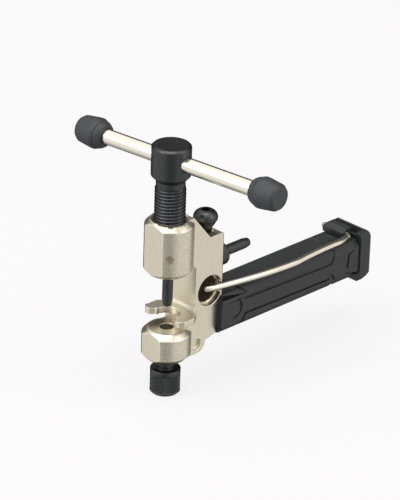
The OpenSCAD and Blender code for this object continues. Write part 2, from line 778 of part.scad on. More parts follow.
// A round wire swept along points that never run straight up or down
module wire(points, r, sides = 12) {
    last = len(points) - 1;
    function heading(i) = points[min(i + 1, last)] - points[max(i - 1, 0)];
    rings = [for (i = [0:last]) let(
            t = heading(i) / norm(heading(i)),
            side = cross(t, [0, 0, 1]) / norm(cross(t, [0, 0, 1])),
            up = cross(side, t)
        )
        for (k = [0:sides - 1]) points[i] + r * (cos(k * 360 / sides) * side + sin(k * 360 / sides) * up)];
    walls = [for (i = [0:last - 1], k = [0:sides - 1])
        [i * sides + k, i * sides + (k + 1) % sides, (i + 1) * sides + (k + 1) % sides, (i + 1) * sides + k]];
    first_end = [for (k = [sides - 1:-1:0]) k];
    last_end = [for (k = [0:sides - 1]) last * sides + k];
    polyhedron(points = rings, faces = concat([first_end], walls, [last_end]));
}

module chain_hook() {
    color(bright_nickel) wire(route, wire_r);
}

body();
hook_bush();
lock_screw();
spare_pin();
spare_pin_holder();
drive_screw();
pin_holder();
push_pin();
thrust_ball();
tee_bar();
bar_grip_left();
bar_grip_right();
anvil_screw();
anvil_tip();
grip_shell_left();
grip_shell_right();
grip_screws();
end_cap();
end_cap_screw();
chain_hook();
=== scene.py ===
"""Looks of a bicycle chain tool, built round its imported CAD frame.

The frame gives every place and overall size in metres, with the press axis on Z and the grip along +Y.
This script adds what the CAD leaves plain, such as rounded edges, a cut thread, a diamond knurl and a drawn
wire, gives each piece its finish, and lights the tool on a pale floor.
"""

import json
import logging
import math
from collections.abc import Callable, Iterable, Sequence
from dataclasses import dataclass
from enum import Enum
from typing import ClassVar

import bmesh
import bpy
from mathutils import Matrix, Vector


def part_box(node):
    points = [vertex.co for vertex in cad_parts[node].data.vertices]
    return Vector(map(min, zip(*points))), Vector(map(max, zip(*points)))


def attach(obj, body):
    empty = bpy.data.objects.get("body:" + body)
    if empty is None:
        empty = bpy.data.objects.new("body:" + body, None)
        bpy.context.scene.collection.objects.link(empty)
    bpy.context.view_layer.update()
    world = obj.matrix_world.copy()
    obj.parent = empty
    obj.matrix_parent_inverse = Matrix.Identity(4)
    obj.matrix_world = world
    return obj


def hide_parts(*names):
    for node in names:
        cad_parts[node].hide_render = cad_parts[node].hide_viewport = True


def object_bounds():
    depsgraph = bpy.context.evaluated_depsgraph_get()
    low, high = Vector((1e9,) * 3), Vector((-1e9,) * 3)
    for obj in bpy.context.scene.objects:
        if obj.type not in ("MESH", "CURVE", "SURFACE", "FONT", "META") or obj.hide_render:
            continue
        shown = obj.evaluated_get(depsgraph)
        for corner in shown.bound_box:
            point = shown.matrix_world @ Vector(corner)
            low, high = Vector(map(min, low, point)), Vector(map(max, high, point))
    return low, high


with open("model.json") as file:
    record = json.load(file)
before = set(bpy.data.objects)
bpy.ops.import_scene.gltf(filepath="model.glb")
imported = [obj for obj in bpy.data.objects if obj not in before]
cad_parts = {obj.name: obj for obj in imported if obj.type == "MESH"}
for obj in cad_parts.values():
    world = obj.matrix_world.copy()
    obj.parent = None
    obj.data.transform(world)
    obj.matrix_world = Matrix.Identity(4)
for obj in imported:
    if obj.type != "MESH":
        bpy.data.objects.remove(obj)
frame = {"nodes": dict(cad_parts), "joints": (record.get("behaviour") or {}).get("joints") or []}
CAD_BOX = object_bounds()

LOG = logging.getLogger("chain_tool")
MM = 0.001
ROUND_STEPS = 96
FLOOR_HALF_M = 3.0

# Sockets of the Mix node in its colour mode
MIX_A = 6
MIX_B = 7
MIX_OUT = 2

Shape = bmesh.types.BMesh
Tree = bpy.types.NodeTree
Socket = bpy.types.NodeSocket
Outputs = bpy.types.bpy_prop_collection
Profile = Sequence[tuple[float, float]]


# ---------------------------------------------------------------- colours and nodes


def linear(hex_colour: str) -> tuple[float, float, float, float]:
    """Turns an sRGB hex colour into linear light.

    Args:
        hex_colour: Colour such as "#c8c4b6".

    Returns:
        Linear red, green, blue and an alpha of 1.
    """
    digits = hex_colour.lstrip("#")
    shares = [int(digits[i:i + 2], 16) / 255 for i in (0, 2, 4)]
    light = [s / 12.92 if s <= 0.04045 else ((s + 0.055) / 1.055) ** 2.4 for s in shares]
    return (light[0], light[1], light[2], 1.0)


def add_node(
    tree: Tree, kind: str, settings: dict | None = None, links: dict | None = None
) -> bpy.types.Node:
    """Adds a node, sets it up and links its inputs.

    Args:
        tree: Node tree that gets the node.
        kind: Blender's type name of the node.
        settings: Values by property name, input name or input number.
        links: Output sockets by the name or number of the input that they feed.

    Returns:
        The new node.
    """
    made = tree.nodes.new(kind)
    for name, value in (settings or {}).items():
        if isinstance(name, str) and hasattr(made, name):
            setattr(made, name, value)
        else:
            made.inputs[name].default_value = value
    for name, socket in (links or {}).items():
        tree.links.new(socket, made.inputs[name])
    return made


def ramp(
    tree: Tree, value: Socket, low: float, high: float, at_low: float = 0.0, at_high: float = 1.0
) -> Socket:
    """Adds a clamped ramp.

    Args:
        tree: Node tree that gets it.
        value: Value that it follows.
        low: Value at which it starts.
        high: Value at which it ends.
        at_low: What it gives at the start.
        at_high: What it gives at the end.

    Returns:
        The socket that carries the result.
    """
    return add_node(
        tree, "ShaderNodeMapRange",
        {"From Min": low, "From Max": high, "To Min": at_low, "To Max": at_high}, {"Value": value},
    ).outputs["Result"]


def feed(tree: Tree, node: bpy.types.Node, inputs: dict[int, "Socket | float | str"]) -> None:
    """Links or sets numbered inputs of a node.

    Args:
        tree: Node tree that holds the node.
        node: The node.
        inputs: A socket, a number or an sRGB hex colour for each input.
    """
    for place, value in inputs.items():
        if isinstance(value, Socket):
            tree.links.new(value, node.inputs[place])
        else:
            node.inputs[place].default_value = linear(value) if isinstance(value, str) else value


def maths(tree: Tree, operation: str, *values: "Socket | float") -> Socket:
    """Adds a step of arithmetic.

    Args:
        tree: Node tree that gets it.
        operation: Blender's name of the operation.
        values: Its inputs, sockets or numbers.

    Returns:
        The socket that carries the result.
    """
    step = add_node(tree, "ShaderNodeMath", {"operation": operation})
    feed(tree, step, dict(enumerate(values)))
    return step.outputs[0]


def blend(tree: Tree, share: Socket, low: "Socket | str", high: "Socket | str") -> Socket:
    """Adds a mix of two colours, each a socket or an sRGB hex colour.

    Args:
        tree: Node tree that gets it.
        share: Share of the second colour.
        low: First colour.
        high: Second colour.

    Returns:
        The socket that carries the colour.
    """
    mix = add_node(tree, "ShaderNodeMix", {"data_type": "RGBA"})
    feed(tree, mix, {0: share, MIX_A: low, MIX_B: high})
    return mix.outputs[MIX_OUT]


def noise(tree: Tree, place: Socket, scale: float, detail: float, roughness: float) -> Socket:
    """Adds a noise pattern.

    Args:
        tree: Node tree that gets it.
        place: Position that it follows.
        scale: Features to a unit of position.
        detail: Number of finer layers.
        roughness: Weight of the finer layers.

    Returns:
        The socket that carries the noise.
    """
    settings = {"Scale": scale, "Detail": detail, "Roughness": roughness}
    return add_node(tree, "ShaderNodeTexNoise", settings, {"Vector": place}).outputs["Fac"]


def split(tree: Tree, vector: Socket) -> Outputs:
    """Adds the split of a vector into its X, Y and Z."""
    return add_node(tree, "ShaderNodeSeparateXYZ", links={"Vector": vector}).outputs


def per_metre(feature_mm: float) -> float:
    """Gives the texture scale at which one feature of a pattern is this many millimetres long."""
    return 1 / (feature_mm * MM)


# ---------------------------------------------------------------- finishes


@dataclass(frozen=True)
class Pattern:
    """What a finish is drawn from.

    Attributes:
        tree: Node tree of the material.
        place: Outputs of the coordinates node.
        grain: Socket that carries the grain, from 0 to 1.
    """

    tree: Tree
    place: Outputs
    grain: Socket


@dataclass(frozen=True)
class Finish:
    """A surface finish, made once and shared by the pieces that have it.

    Attributes:
        name: Name of the material.
        colour: Main colour, sRGB.
        shade: Second colour of the pattern, sRGB.
        metallic: 1 for bare or plated metal, 0 for a plastic.
        roughness: Roughness of the smooth parts of the pattern.
        roughness_spread: What the rough parts add to it.
        grain_mm: Length of one grain of the pattern.
        stretch: How many times longer than wide the grain is along the tool's Z axis.
        relief_mm: Height of the grain.
        slot: The record's material slot; not used.
    """

    name: str
    colour: str
    shade: str
    metallic: float
    roughness: float
    roughness_spread: float
    grain_mm: float
    stretch: float
    relief_mm: float
    slot: str
    made: ClassVar[dict[str, bpy.types.Material]] = {}

    def material(self) -> bpy.types.Material:
        """Gives the material, which is made the first time."""
        if self.name not in Finish.made:
            Finish.made[self.name] = self.build()
        return Finish.made[self.name]

    def build(self) -> bpy.types.Material:
        """Makes the material: a colour, roughness and height that follow one grain.

        Returns:
            The finished material.
        """
        material = bpy.data.materials.new(self.name)
        material.use_nodes = True
        tree = material.node_tree
        tree.nodes.clear()
        place = add_node(tree, "ShaderNodeTexCoord").outputs
        pattern = Pattern(tree, place, self.grain(tree, place["Object"]))
        roughest = self.roughness + self.roughness_spread
        bump = add_node(
            tree, "ShaderNodeBump", {"Strength": 1.0, "Distance": self.relief_mm * MM},
            {"Height": self.height(pattern)},
        )
        surface = add_node(
            tree, "ShaderNodeBsdfPrincipled", {"Metallic": self.metallic},
            {"Base Color": self.tint(pattern), "Normal": bump.outputs["Normal"],
             "Roughness": ramp(tree, pattern.grain, 0, 1, self.roughness, roughest)},
        )
        self.polish(surface)
        add_node(tree, "ShaderNodeOutputMaterial", links={"Surface": surface.outputs["BSDF"]})
        return material

    def grain(self, tree: Tree, place: Socket) -> Socket:
        """Adds the grain, from 0 to 1.

        Args:
            tree: Node tree of the material.
            place: Position on the object, in metres.

        Returns:
            The socket that carries the grain.
        """
        frequency = per_metre(self.grain_mm)
        stretched = add_node(
            tree, "ShaderNodeMapping", {"Scale": (frequency, frequency, frequency / self.stretch)},
            {"Vector": place},
        )
        return ramp(tree, noise(tree, stretched.outputs["Vector"], 1.0, 4.0, 0.6), 0.3, 0.7)

    def tint(self, pattern: Pattern) -> Socket:
        """Adds the colour, which follows the grain."""
        return blend(pattern.tree, pattern.grain, self.colour, self.shade)

    def height(self, pattern: Pattern) -> Socket:
        """Gives the height of the relief, which is the grain itself."""
        return pattern.grain

    def polish(self, surface: bpy.types.Node) -> None:
        """Sets further values on the shader; the plain finish has none."""


@dataclass(frozen=True)
class CastNickel(Finish):
    """Satin nickel over investment-cast steel: grained round faces, milled flats, one rough patch.

    Attributes:
        web_half_mm: Distance of the milled sides of the web from the middle.
        pit_mm: Size of the pits of the cast skin.
        patch_mm: Middle of the patch where the plating is thin.
        patch_radius_mm: Radius of that patch.
        patch_colour: Colour of the steel that shows there.
        pit_colour: Colour in the pits of the cast skin.
        skin_colour: Colour of the cast skin.
    """

    web_half_mm: float = 5.0
    pit_mm: float = 0.40
    patch_mm: tuple[float, float, float] = (5.6, -4.9, 25.6)
    patch_radius_mm: float = 3.0
    patch_colour: str = "#9A8E7B"
    pit_colour: str = "#BDB6A5"
    skin_colour: str = "#D9D3C4"

    def cast_skin(self, pattern: Pattern) -> Socket:
        """Adds the share of cast skin: 1 on the turned round faces, 0 on the milled flats."""
        tree = pattern.tree
        normal = split(tree, pattern.place["Normal"])
        point = split(tree, pattern.place["Object"])
        side = maths(tree, "ABSOLUTE", point["X"])
        off_web = ramp(tree, side, (self.web_half_mm + 0.05) * MM, (self.web_half_mm + 0.25) * MM)
        # A face within about 20 degrees of the front is a milled flat, and a level face isn't cast skin
        off_flat = ramp(tree, normal["Y"], -0.93, -0.89)
        upright = ramp(tree, maths(tree, "ABSOLUTE", normal["Z"]), 0.5, 0.35)
        front = ramp(tree, point["Y"], -2.0 * MM, -3.5 * MM)
        outside = maths(tree, "MAXIMUM", off_web, front)
        return maths(tree, "MULTIPLY", maths(tree, "MULTIPLY", off_flat, upright), outside)

    def pits(self, pattern: Pattern) -> Socket:
        """Adds the pits of the cast skin, from 0 in a pit to 1 on the skin."""
        pitted = noise(pattern.tree, pattern.place["Object"], per_metre(self.pit_mm), 3.0, 0.65)
        return ramp(pattern.tree, pitted, 0.36, 0.6)

    def tint(self, pattern: Pattern) -> Socket:
        """Adds nickel that is duller in the pits, and the patch where the steel shows through."""
        tree = pattern.tree
        place = pattern.place["Object"]
        cast = blend(tree, self.pits(pattern), self.pit_colour, self.skin_colour)
        plated = blend(tree, self.cast_skin(pattern), Finish.tint(self, pattern), cast)
        away = add_node(
            tree, "ShaderNodeVectorMath", {"operation": "DISTANCE", 1: Vector(self.patch_mm) * MM}, {0: place}
        )
        radius = self.patch_radius_mm * MM
        near = ramp(tree, away.outputs["Value"], radius, 0.2 * radius)
        ragged = maths(tree, "MULTIPLY", near, noise(tree, place, per_metre(1.3), 5.0, 0.8))
        return blend(tree, ramp(tree, ragged, 0.30, 0.44, 0.0, 0.80), plated, self.patch_colour)

    def height(self, pattern: Pattern) -> Socket:
        """Adds the relief: milling lines on the flats and pits on the cast skin."""
        lines = maths(pattern.tree, "MULTIPLY", pattern.grain, 0.25)
        return add_node(
            pattern.tree, "ShaderNodeMix", {"data_type": "FLOAT"},
            {0: self.cast_skin(pattern), 2: lines, 3: self.pits(pattern)},
        ).outputs[0]


@dataclass(frozen=True)
class TurnedBlackOxide(Finish):
    """Oiled black oxide on turned steel, with the lathe's rings on its ends.

    Attributes:
        ring_mm: Distance between two rings of the lathe tool, drawn coarser than the real 0.1 mm to show.
    """

    ring_mm: float = 0.42

    def height(self, pattern: Pattern) -> Socket:
        """Adds the tool rings round the press axis to the grain, on faces that look up."""
        tree, place = pattern.tree, pattern.place
        flat = add_node(tree, "ShaderNodeMapping", {"Scale": (1.0, 1.0, 0.0)}, {"Vector": place["Object"]})
        radius = add_node(tree, "ShaderNodeVectorMath", {"operation": "LENGTH"}, {0: flat.outputs["Vector"]})
        phase = maths(tree, "MULTIPLY", radius.outputs["Value"], 2 * math.pi * per_metre(self.ring_mm))
        on_end = ramp(tree, split(tree, place["Normal"])["Z"], 0.9, 0.98, 0.0, 0.5)
        rings = maths(tree, "MULTIPLY", maths(tree, "SINE", phase), on_end)
        return maths(tree, "ADD", rings, pattern.grain)


@dataclass(frozen=True)
class MouldedNylon(Finish):
    """Glass-filled nylon from a spark-eroded mould: a dull, even black with a fine leathery grain."""

    def polish(self, surface: bpy.types.Node) -> None:
        """Gives the plastic its refractive index."""
        surface.inputs["IOR"].default_value = 1.45


# Nickel plate over cast steel: a warm, satin silver whose milled flats show fine upright lines
CAST_NICKEL = CastNickel(
    "satin_nickel_cast_steel", "#D6D0C0", "#CCC5B4", 1.0, 0.28, 0.10, 0.22, 28.0, 0.014, "nickel_steel"
)
# The same plate on the rounded edges: smoother, with a lighter colour that is a painted highlight along the
# edges
EDGE_HIGHLIGHT_NICKEL = Finish(
    "nickel_edge_painted_highlight", "#E6E1D3", "#D8D2C2", 1.0, 0.22, 0.08, 0.5, 1.0, 0.004, "nickel_steel"
)
# Nickel plate over ground bar: nearly a mirror, creamy white, with faint marks of the grinding
BAR_NICKEL = Finish(
    "bright_nickel_bar", "#E9E6DC", "#E2DED3", 1.0, 0.15, 0.06, 0.6, 0.35, 0.002, "polished_nickel"
)
# Nickel plate over drawn spring wire: bright, with small ripples from the drawing die
WIRE_NICKEL = Finish(
    "bright_nickel_wire", "#E6E1D2", "#DAD4C4", 1.0, 0.16, 0.06, 0.8, 1.0, 0.003, "nickel_wire"
)
# Black oxide over turned steel, oiled: near-black with soft broad highlights
BLACK_OXIDE = TurnedBlackOxide(
    "oiled_black_oxide", "#4C4D4F", "#3F4042", 1.0, 0.28, 0.12, 0.5, 1.0, 0.006, "black_oxide"
)
# Ground tool steel of the ball and the anvil tip: a cool mid grey
GROUND_STEEL = Finish(
    "ground_tool_steel", "#8E9092", "#7A7C7F", 1.0, 0.25, 0.10, 0.3, 0.2, 0.003, "hardened_steel"
)
# Moulded nylon of the grip, dark grey with a fine texture
BLACK_NYLON = MouldedNylon(
    "moulded_black_nylon", "#1F2123", "#18191B", 0.0, 0.42, 0.10, 0.30, 1.0, 0.014, "black_nylon"
)
# Nylon of the bush in the frame's splined hole: a dark brown, oily to the eye
BUSH_NYLON = MouldedNylon(
    "moulded_brown_bush", "#3B3026", "#2B221A", 0.0, 0.38, 0.14, 0.5, 1.0, 0.012, "black_nylon"
)
# Moulded soft plastic of the bar's end grips, duller and a little paler
GREY_GRIP = MouldedNylon(
    "moulded_grey_grip", "#303235", "#282A2C", 0.0, 0.46, 0.12, 0.35, 1.0, 0.012, "grey_rubber"
)


# ---------------------------------------------------------------- mesh work


def ring_vert(shape: Shape, radius_mm: float, angle: float, height_mm: float) -> bmesh.types.BMVert:
    """Adds a point at a radius, an angle and a height about the Z axis."""
    return shape.verts.new(
        (radius_mm * math.cos(angle) * MM, radius_mm * math.sin(angle) * MM, height_mm * MM)
    )


def bridge(shape: Shape, lower: list, upper: list) -> None:
    """Joins two closed rings by faces; a ring of one point makes triangles.

    Args:
        shape: Mesh that gets the faces.
        lower: Points of the first ring.
        upper: Points of the second ring.
    """
    steps = max(len(lower), len(upper))
    for k in range(steps):
        ahead = (k + 1) % steps
        corners = [lower[k % len(lower)], lower[ahead % len(lower)]]
        corners += [upper[ahead % len(upper)], upper[k % len(upper)]]
        loop = list(dict.fromkeys(corners))
        if len(loop) > 2:
            shape.faces.new(loop)


def lathe(profile: Profile, steps: int = ROUND_STEPS, closed: bool = False) -> Shape:
    """Turns a profile about the Z axis.

    Args:
        profile: (radius, height) points in millimetres, in order along the profile.
        steps: Number of facets round the axis.
        closed: Whether the last point joins the first, as on a ring.

    Returns:
        The turned mesh, in metres.
    """
    shape = bmesh.new()
    rings = []
    for radius, height in profile:
        count = steps if radius > 1e-6 else 1
        rings.append([ring_vert(shape, radius, 2 * math.pi * k / steps, height) for k in range(count)])
    uppers = rings[1:] + (rings[:1] if closed else [])
    for lower, upper in zip(rings, uppers):
        bridge(shape, lower, upper)
    return shape


def rounded(points: Sequence[tuple[float, float, float]], steps: int = 5) -> list[tuple[float, float]]:
    """Rounds the corners of an open profile.

    Args:
        points: (radius, height, corner radius) in millimetres; the ends keep their corners.
        steps: Number of chords in each rounded corner.

    Returns:
        (radius, height) points with an arc at each corner that has a corner radius.
    """
    made = []
    for i, (x, y, corner) in enumerate(points):
        if corner <= 0 or i in (0, len(points) - 1):
            made.append((x, y))
            continue
        here = Vector((x, y))
        back = (Vector(points[i - 1][:2]) - here).normalized()
        ahead = (Vector(points[i + 1][:2]) - here).normalized()
        half = back.angle(ahead) / 2
        start = here + back * (corner / math.tan(half))
        stop = here + ahead * (corner / math.tan(half))
        centre = here + (back + ahead).normalized() * (corner / math.sin(half))
        for step in range(steps + 1):
            spoke = (start.lerp(stop, step / steps) - centre).normalized()
            made.append(tuple(centre + spoke * corner))
    return made


def weld(*parts: Shape) -> Shape:
    """Joins meshes into one and merges the points that they share.

    Args:
        parts: Meshes, which are used up.

    Returns:
        The joined mesh.
    """
    whole = bmesh.new()
    for part in parts:
        carrier = bpy.data.meshes.new("carrier")
        part.to_mesh(carrier)
        part.free()
        whole.from_mesh(carrier)
        bpy.data.meshes.remove(carrier)
    bmesh.ops.remove_doubles(whole, verts=whole.verts, dist=1e-3 * MM)
    bmesh.ops.recalc_face_normals(whole, faces=whole.faces)
    return whole


def to_object(name: str, shape: Shape) -> bpy.types.Object:
    """Puts a mesh in the scene.

    Args:
        name: Name of the object.
        shape: Mesh, which is used up.

    Returns:
        The new object.
    """
    mesh = bpy.data.meshes.new(name)
    shape.to_mesh(mesh)
    shape.free()
    made = bpy.data.objects.new(name, mesh)
    bpy.context.scene.collection.objects.link(made)
    return made


def cut(shape: Shape, *tools: Shape) -> Shape:
    """Cuts closed meshes out of a closed mesh.

    Args:
        shape: Mesh to cut, which is used up.
        tools: Meshes to take away, which are used up.

    Returns:
        The cut mesh.
    """
    target = to_object("cut_target", shape)
    cutters = [to_object("cut_tool", tool) for tool in tools]
    for cutter in cutters:
        modifier = target.modifiers.new("cut", "BOOLEAN")
        modifier.operation = "DIFFERENCE"
        modifier.solver = "EXACT"
        modifier.object = cutter
    bpy.context.view_layer.update()
    graph = bpy.context.evaluated_depsgraph_get()
    result = bmesh.new()
    result.from_mesh(target.evaluated_get(graph).data)
    for spent in [target, *cutters]:
        mesh = spent.data
        bpy.data.objects.remove(spent)
        bpy.data.meshes.remove(mesh)
    return result


def cad_copy(node: str) -> Shape:
    """Copies a CAD node's mesh, merged and with its flat faces whole again.

    Args:
        node: Name of the CAD node.

    Returns:
        The copied mesh.
    """
    shape = bmesh.new()
    shape.from_mesh(frame["nodes"][node].data)
    bmesh.ops.remove_doubles(shape, verts=shape.verts, dist=2e-3 * MM)
    bmesh.ops.dissolve_degenerate(shape, edges=shape.edges, dist=2e-3 * MM)
    bmesh.ops.dissolve_limit(
        shape, angle_limit=math.radians(0.7), verts=shape.verts, edges=shape.edges,
        use_dissolve_boundaries=False,
    )
    bmesh.ops.recalc_face_normals(shape, faces=shape.faces)
    return shape


def folds(shape: Shape) -> list[Vector]:
    """Finds the places where a mesh folds back on itself.

    Args:
        shape: Mesh to test.

    Returns:
        Middles of its turned-over triangles and knife edges.
    """
    shape.normal_update()
    places = []
    for loops in shape.calc_loop_triangles():
        a, b, c = (loop.vert.co for loop in loops)
        normal = (b - a).cross(c - a)
        if normal.length > 1e-12 and normal.dot(loops[0].face.normal) < 0:
            places.append((a + b + c) / 3)
    knife = math.radians(172)
    places += [middle(e) for e in shape.edges if len(e.link_faces) == 2 and e.calc_face_angle(0) > knife]
    return places


def middle(edge: bmesh.types.BMEdge) -> Vector:
    """Gives the middle of an edge."""
    return (edge.verts[0].co + edge.verts[1].co) / 2


def soften(
    shape: Shape,
    width_mm: float,
    segments: int = 2,
    sharp_degrees: float = 32.0,
    where: Callable[[Vector], bool] | None = None,
    finish_index: int = -1,
) -> Shape:
    """Rounds the sharp edges of a mesh, all but those whose rounding would fold it.

    Args:
        shape: Mesh to round, which is used up.
        width_mm: Width that the rounding takes off each side of an edge.
        segments: Number of faces across the rounding.
        sharp_degrees: Angle between two faces above which their edge is rounded.
        where: Test on the middle of an edge; none takes every edge.
        finish_index: Material slot of the new faces, or -1 for the neighbours' own.

    Returns:
        The rounded mesh.
    """
    limit = math.radians(sharp_degrees)
    reach = 1.5 * width_mm * MM
    kept_off = folds(shape)
    for attempt in range(8):
        trial = shape.copy()
        edges = [
            e for e in trial.edges
            if len(e.link_faces) == 2
            and e.calc_face_angle(0) > limit
            and (where is None or where(middle(e)))
            and all((middle(e) - place).length > reach + e.calc_length() / 2 for place in kept_off)
        ]
        bmesh.ops.bevel(
            trial, geom=edges, offset=width_mm * MM, offset_type="OFFSET", segments=segments, profile=0.5,
            affect="EDGES", clamp_overlap=False, loop_slide=True, material=finish_index,
        )
        fresh = [spot for spot in folds(trial) if all((spot - place).length > 1e-5 for place in kept_off)]
        if not fresh:
            break
        kept_off += fresh
        if attempt < 7:
            trial.free()
    LOG.info("%d edges rounded, %d places kept off, %d folds", len(edges), len(kept_off), len(fresh))
    shape.free()
    return trial


def turned_to(shape: Shape, axis: Vector, origin: Vector) -> Shape:
    """Turns a mesh built along Z to lie along another axis.

    Args:
        shape: Mesh to change.
        axis: Direction that the mesh's Z axis gets.
        origin: Where the mesh's origin goes.

    Returns:
        The same mesh.
    """
    spin = Vector((0, 0, 1)).rotation_difference(axis).to_matrix().to_4x4()
    bmesh.ops.transform(shape, matrix=Matrix.Translation(origin) @ spin, verts=shape.verts)
    return shape


@dataclass(frozen=True)
class Thread:
    """A single-start right-hand thread.

    Attributes:
        crest_mm: Radius over the crests.
        root_mm: Radius at the roots.
        pitch_mm: Distance between two crests.
    """

    crest_mm: float
    root_mm: float
    pitch_mm: float
    section: ClassVar[Profile] = (
        (0.0, 0.0), (0.1, 0.06), (0.36, 0.88), (0.5, 1.0), (0.64, 0.88), (0.9, 0.06)
    )

    def wind(self, bottom_mm: float, top_mm: float, steps: int = ROUND_STEPS) -> Shape:
        """Winds the thread's surface between two heights; it runs out to the root at both.

        Args:
            bottom_mm: Height of the lower end.
            top_mm: Height of the upper end.
            steps: Facets in one turn.

        Returns:
            The open tube of thread.
        """
        shape = bmesh.new()
        turns = math.ceil((top_mm - bottom_mm) / self.pitch_mm) + 3
        rows = []
        for turn in range(turns):
            for share, rise in self.section:
                start = bottom_mm + (turn - 1 + share) * self.pitch_mm
                rows.append([
                    self.point(shape, start + k / steps * self.pitch_mm, k / steps, rise, bottom_mm, top_mm)
                    for k in range(steps)
                ])
        per_turn = len(self.section)
        for low, high, shift in self.pairs(rows, per_turn):
            for k in range(steps - 1):
                shape.faces.new((low[k], low[k + 1], high[k + 1], high[k]))
            if shift:
                shape.faces.new((low[-1], shift[0][0], shift[1][0], high[-1]))
        return shape

    def pairs(self, rows: list, per_turn: int) -> Iterable[tuple]:
        """Pairs each row with the one above, and with the two rows that go on from its end one turn up."""
        for i in range(len(rows) - 1):
            onward = rows[i + per_turn:i + per_turn + 2]
            yield rows[i], rows[i + 1], onward if len(onward) == 2 else None

    def point(
        self, shape: Shape, height: float, turn: float, rise: float, bottom: float, top: float
    ) -> bmesh.types.BMVert:
        """Adds one point of the thread, held between the two ends.

        Args:
            shape: Mesh that gets the point.
            height: Height along the thread, in millimetres.
            turn: Share of a whole turn.
            rise: Share of the thread's depth.
            bottom: Height of the lower end.
            top: Height of the upper end.

        Returns:
            The new point.
        """
        held = min(max(height, bottom), top)
        fade = min(1.0, (held - bottom) / (0.8 * self.pitch_mm), (top - held) / (0.8 * self.pitch_mm))
        radius = self.root_mm + (self.crest_mm - self.root_mm) * rise * fade
        return ring_vert(shape, radius, 2 * math.pi * turn, held)


@dataclass(frozen=True)
class Knurl:
    """A diamond knurl rolled round a knob.

    Attributes:
        teeth: Number of diamonds round the knob.
        rows: Number of diamonds up the knob.
        depth_mm: Depth of the grooves.
        fine: Points across one diamond.
    """

    teeth: int = 28
    rows: int = 4
    depth_mm: float = 0.30
    fine: int = 8

    def roll(self, radius_mm: float, bottom_mm: float, top_mm: float) -> Shape:
        """Rolls the knurl between two heights.

        Args:
            radius_mm: Radius over the diamonds.
            bottom_mm: Height of the lower end.
            top_mm: Height of the upper end.

        Returns:
            The open tube of knurl, whose ends are plain rings at the full radius.
        """
        steps = self.teeth * self.fine
        count = self.rows * self.fine
        shape = bmesh.new()
        rings = []
        for i in range(count + 1):
            up = i / count
            ring = []
            for k in range(steps):
                sunk = 0.0 if i in (0, count) else self.groove(self.teeth * k / steps, self.rows * up)
                height = bottom_mm + (top_mm - bottom_mm) * up
                ring.append(
                    ring_vert(shape, radius_mm - self.depth_mm * sunk, 2 * math.pi * k / steps, height)
                )
            rings.append(ring)
        for lower, upper in zip(rings, rings[1:]):
            bridge(shape, lower, upper)
        return shape

    def groove(self, across: float, up: float) -> float:
        """Gives the share of the groove's depth at a place, both counted in diamonds.

        Args:
            across: Place round the knob.
            up: Place up the knob.

        Returns:
            0 on top of a diamond, 1 at the bottom of a groove.
        """
        left = abs(2 * ((across + up) % 1.0) - 1)
        right = abs(2 * ((across - up) % 1.0) - 1)
        return min(1.0, max(0.0, 1.25 * max(left, right) - 0.25))


def swept_wire(points: Sequence[Vector], radius_mm: float, sides: int = 20) -> Shape:
    """Sweeps a round wire with domed ends along a smooth route.

    Args:
        points: Points of the route in millimetres, close together where it bends.
        radius_mm: Radius of the wire.
        sides: Facets round the wire.

    Returns:
        The closed mesh, in metres.
    """
    shape = bmesh.new()
    rings = []
    side = None
    dome = [(0.0, 1.0), (0.35, 0.94), (0.7, 0.72), (0.95, 0.32)]
    last = len(points) - 1
    stations = [(0, -back, share) for back, share in reversed(dome[1:])]
    stations += [(i, 0.0, 1.0) for i in range(last + 1)]
    stations += [(last, ahead, share) for ahead, share in dome[1:]]
    for i, shift, share in stations:
        along = (points[min(i + 1, last)] - points[max(i - 1, 0)]).normalized()
        side = (side or along.orthogonal()) - along * (side or along.orthogonal()).dot(along)
        side.normalize()
        up = along.cross(side)
        centre = points[i] + along * (shift * radius_mm)
        rings.append([
            shape.verts.new(
                (centre + (side * math.cos(a) + up * math.sin(a)) * radius_mm * share) * MM
            )
            for a in (2 * math.pi * k / sides for k in range(sides))
        ])
    for lower, upper in zip(rings, rings[1:]):
        bridge(shape, lower, upper)
    shape.faces.new(list(reversed(rings[0])))
    shape.faces.new(rings[-1])
    bmesh.ops.recalc_face_normals(shape, faces=shape.faces)
    return shape


def smooth_route(points: Sequence[Vector], steps: int = 6) -> list[Vector]:
    """Runs a smooth curve through points.

    Args:
        points: Points of the route.
        steps: Number of chords between two points.

    Returns:
        The points of the curve, with the given ones among them.
    """
    ends = [points[0] * 2 - points[1], *points, points[-1] * 2 - points[-2]]
    made = [points[0].copy()]
    for before, start, stop, after in zip(ends, ends[1:], ends[2:], ends[3:]):
        for step in range(1, steps + 1):
            u = step / steps
            made.append(
                0.5 * (
                    2 * start + (stop - before) * u
                    + (2 * before - 5 * start + 4 * stop - after) * u * u
                    + (3 * start - before - 3 * stop + after) * u * u * u
                )
            )
    return made


# ---------------------------------------------------------------- sub-assemblies


